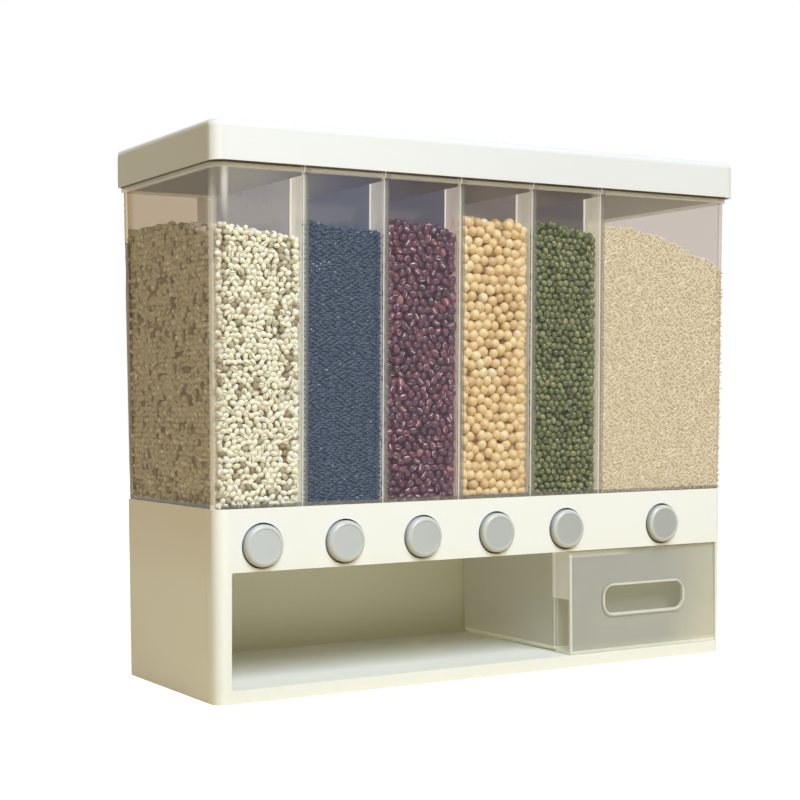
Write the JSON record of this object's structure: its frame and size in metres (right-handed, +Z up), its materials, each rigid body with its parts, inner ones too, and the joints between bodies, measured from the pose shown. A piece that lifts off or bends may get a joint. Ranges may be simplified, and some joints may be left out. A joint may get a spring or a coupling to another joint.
{
  "type": "wall-mounted dry food dispenser",
  "caption": "Clear compartmented bin on a white base with sprung push buttons that open a gate under each compartment, over an open bay with a catch drawer.",
  "frame": {"origin": "middle of the whole object's outline seen from above, on the flat foot", "axes": "+X to the right along the front, +Y towards the wall, +Z up"},
  "size_m": [0.443, 0.172, 0.3785],
  "materials": {
    "white_plastic": "satin moulded",
    "clear_plastic": "clear polished",
    "smoky_plastic": "smoky translucent",
    "frosted_plastic": "frosted translucent",
    "grey_plastic": "fine matte",
    "seal_rubber": "soft silicone",
    "steel": "zinc plated"
  },
  "bodies": {
    "housing": {"base_housing": "white_plastic", "bin_body": "clear_plastic", "hopper_tray": "white_plastic", "mechanism_deck": "white_plastic", "partition_1": "smoky_plastic", "partition_2": "smoky_plastic", "partition_3": "smoky_plastic", "partition_4": "smoky_plastic", "partition_5": "smoky_plastic", "wall_bracket": "steel", "deck_screws": "steel"},
    "lid": {"lid_shell": "white_plastic", "lid_seal": "seal_rubber"},
    "drawer": {"catch_drawer": "frosted_plastic"},
    "dispenser_1": {"button_cap_1": "grey_plastic", "gate_slide_1": "white_plastic", "return_spring_1": "steel"},
    "dispenser_2": {"button_cap_2": "grey_plastic", "gate_slide_2": "white_plastic", "return_spring_2": "steel"},
    "dispenser_3": {"button_cap_3": "grey_plastic", "gate_slide_3": "white_plastic", "return_spring_3": "steel"},
    "dispenser_4": {"button_cap_4": "grey_plastic", "gate_slide_4": "white_plastic", "return_spring_4": "steel"},
    "dispenser_5": {"button_cap_5": "grey_plastic", "gate_slide_5": "white_plastic", "return_spring_5": "steel"},
    "dispenser_6": {"button_cap_6": "grey_plastic", "gate_slide_6": "white_plastic", "return_spring_6": "steel"}
  },
  "joints": [
    {"name": "lid_lift", "type": "slide", "parent": "housing", "child": "lid", "axis": [0, 0, 1], "range_m": [0, 0.06]},
    {"name": "drawer_slide", "type": "slide", "parent": "housing", "child": "drawer", "axis": [0, -1, 0], "range_m": [0, 0.14]},
    {"name": "button_1", "type": "slide", "parent": "housing", "child": "dispenser_1", "axis": [0, 1, 0], "range_m": [0, 0.014], "stiffness_N_per_m": 200, "springref_m": -0.004, "deforming": ["return_spring_1"]},
    {"name": "button_2", "type": "slide", "parent": "housing", "child": "dispenser_2", "axis": [0, 1, 0], "range_m": [0, 0.014], "stiffness_N_per_m": 200, "springref_m": -0.004, "deforming": ["return_spring_2"]},
    {"name": "button_3", "type": "slide", "parent": "housing", "child": "dispenser_3", "axis": [0, 1, 0], "range_m": [0, 0.014], "stiffness_N_per_m": 200, "springref_m": -0.004, "deforming": ["return_spring_3"]},
    {"name": "button_4", "type": "slide", "parent": "housing", "child": "dispenser_4", "axis": [0, 1, 0], "range_m": [0, 0.014], "stiffness_N_per_m": 200, "springref_m": -0.004, "deforming": ["return_spring_4"]},
    {"name": "button_5", "type": "slide", "parent": "housing", "child": "dispenser_5", "axis": [0, 1, 0], "range_m": [0, 0.014], "stiffness_N_per_m": 200, "springref_m": -0.004, "deforming": ["return_spring_5"]},
    {"name": "button_6", "type": "slide", "parent": "housing", "child": "dispenser_6", "axis": [0, 1, 0], "range_m": [0, 0.014], "stiffness_N_per_m": 200, "springref_m": -0.004, "deforming": ["return_spring_6"]}
  ]
}
